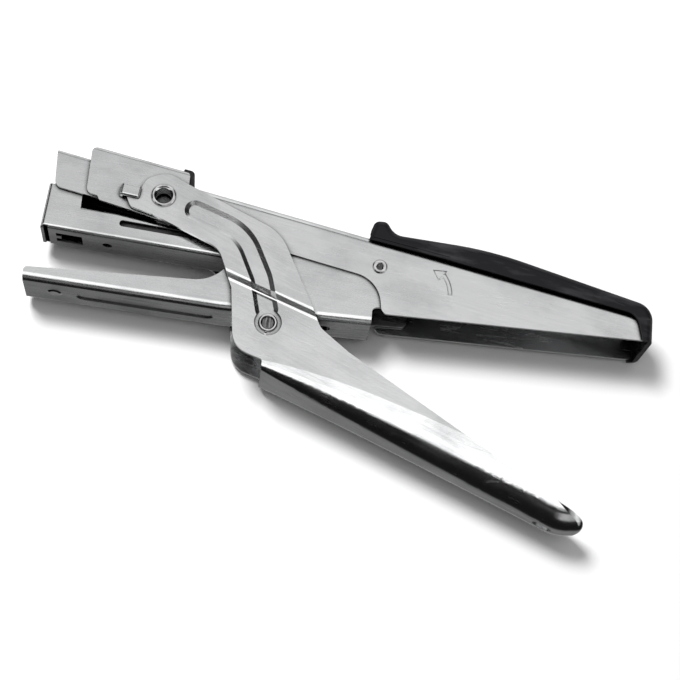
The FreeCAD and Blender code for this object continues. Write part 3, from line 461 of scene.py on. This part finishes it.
def wires(name, lines, radius, body, material, closed=False):
    """Round wire along each line of spots, as one piece; closed joins each line's ends."""
    curve = bpy.data.curves.new(name, "CURVE")
    curve.dimensions = "3D"
    curve.bevel_depth = radius
    curve.bevel_resolution = 3
    curve.use_fill_caps = True
    for spots in lines:
        line = curve.splines.new("POLY")
        line.points.add(len(spots) - 1)
        line.use_cyclic_u = closed
        for dot, spot in zip(line.points, spots):
            dot.co = (*spot, 1.0)
    drawn = bpy.data.objects.new(name + ".path", curve)
    bpy.context.scene.collection.objects.link(drawn)
    bpy.context.view_layer.update()
    mesh = bpy.data.meshes.new_from_object(
        drawn.evaluated_get(bpy.context.evaluated_depsgraph_get()))
    bpy.data.objects.remove(drawn)
    bpy.data.curves.remove(curve)
    mesh.materials.clear()
    mesh.materials.append(material)
    for polygon in mesh.polygons:
        polygon.use_smooth = True
    piece = bpy.data.objects.new(name, mesh)
    bpy.context.scene.collection.objects.link(piece)
    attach(piece, body)
    return piece


def magazine_frame():
    """Lower front corner of the staple strip, its length, height, way along and way up."""
    slide = [j for j in frame["record"]["behaviour"]["joints"] if j["name"] == "pusher_slide"]
    along = Vector(slide[0]["axis"])
    up = Vector((-along.y, along.x, 0.0))
    low, high = (Vector(corner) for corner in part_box("staple_strip"))
    c, d = along.x, -along.y
    wide, tall = high.x - low.x, high.y - low.y
    length = (wide * c - tall * d) / (c * c - d * d)
    height = (tall * c - wide * d) / (c * c - d * d)
    corner = Vector((low.x, low.y + length * d, (low.z + high.z) / 2))
    return corner, length, height, along, up, (high.z - low.z) / 2


def make_staples(material):
    """The strip's separate wires, each bent to a U with round corners."""
    corner, length, height, along, up, half = magazine_frame()
    radius = 0.49 * length / STAPLES
    top, side = height - radius, half - radius
    section = [(0.0, -side)]
    for way in (-1, 1):
        arc = []
        for i in range(BEND_STEPS + 1):
            angle = math.radians(90.0 * i / BEND_STEPS)
            arc.append((top - STAPLE_BEND + STAPLE_BEND * math.sin(angle),
                        way * (side - STAPLE_BEND + STAPLE_BEND * math.cos(angle))))
        section += arc if way < 0 else reversed(arc)
    section.append((0.0, side))
    lines = []
    for n in range(STAPLES):
        start = corner + along * (length * (n + 0.5) / STAPLES)
        lines.append([start + up * v + Vector((0, 0, z)) for v, z in section])
    strip = wires("staples", lines, radius, "magazine", material)
    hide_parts("staple_strip")
    return strip


def make_cover_ribs(material):
    """Thin rib along the lower edge of each skirt of the cover, in front."""
    low, high = (Vector(corner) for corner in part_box("loading_cover"))
    first = 1.4 * MM
    run = 24.0 * MM
    foot = high.y - 5.9 * MM
    lines = []
    for z in (low.z, high.z):
        spots = []
        for share in (0.0, 0.35, 0.7, 1.0):
            x = low.x + first + run * share
            spots.append((x, foot + RIB_SLOPE * (x - low.x), z))
        lines.append(spots)
    return wires("cover_ribs", lines, RIB_RADIUS, "cover", material)


def make_arrow_edge(material):
    """Thin raised edge round the arrow that is pressed into the near side."""
    face = Vector(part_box("body_shell")[1]).z
    pin_low, pin_high = (Vector(corner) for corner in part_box("lower_pin"))
    pin = (pin_low + pin_high) / 2

    def on_face(x, y):
        return Vector((pin.x + x * MM, pin.y + y * MM, face))

    centre = on_face(*ARROW_CENTRE)
    inner, outer = (radius * MM for radius in ARROW_BAND)
    start, end = (math.radians(degrees) for degrees in ARROW_SWEEP)
    angles = [start + (end - start) * i / ARROW_STEPS for i in range(ARROW_STEPS + 1)]

    def arc(radius, turns):
        return [centre + Vector((math.cos(a), math.sin(a), 0)) * radius for a in turns]

    spots = arc(outer, angles) + [on_face(x, y) for x, y in ARROW_HEAD]
    spots += arc(inner, reversed(angles[:-1]))
    return wires("arrow_edge", [spots], ARROW_RADIUS, "frame", material, True)


bpy.context.scene.view_settings.view_transform = "Standard"
make_camera()
make_world()
make_lights()
make_floor()
materials = make_materials()
dress_all(materials)
make_staples(materials["staple_wire"])
make_cover_ribs(materials["black_gloss"])
make_arrow_edge(materials["chromed_sheet"])
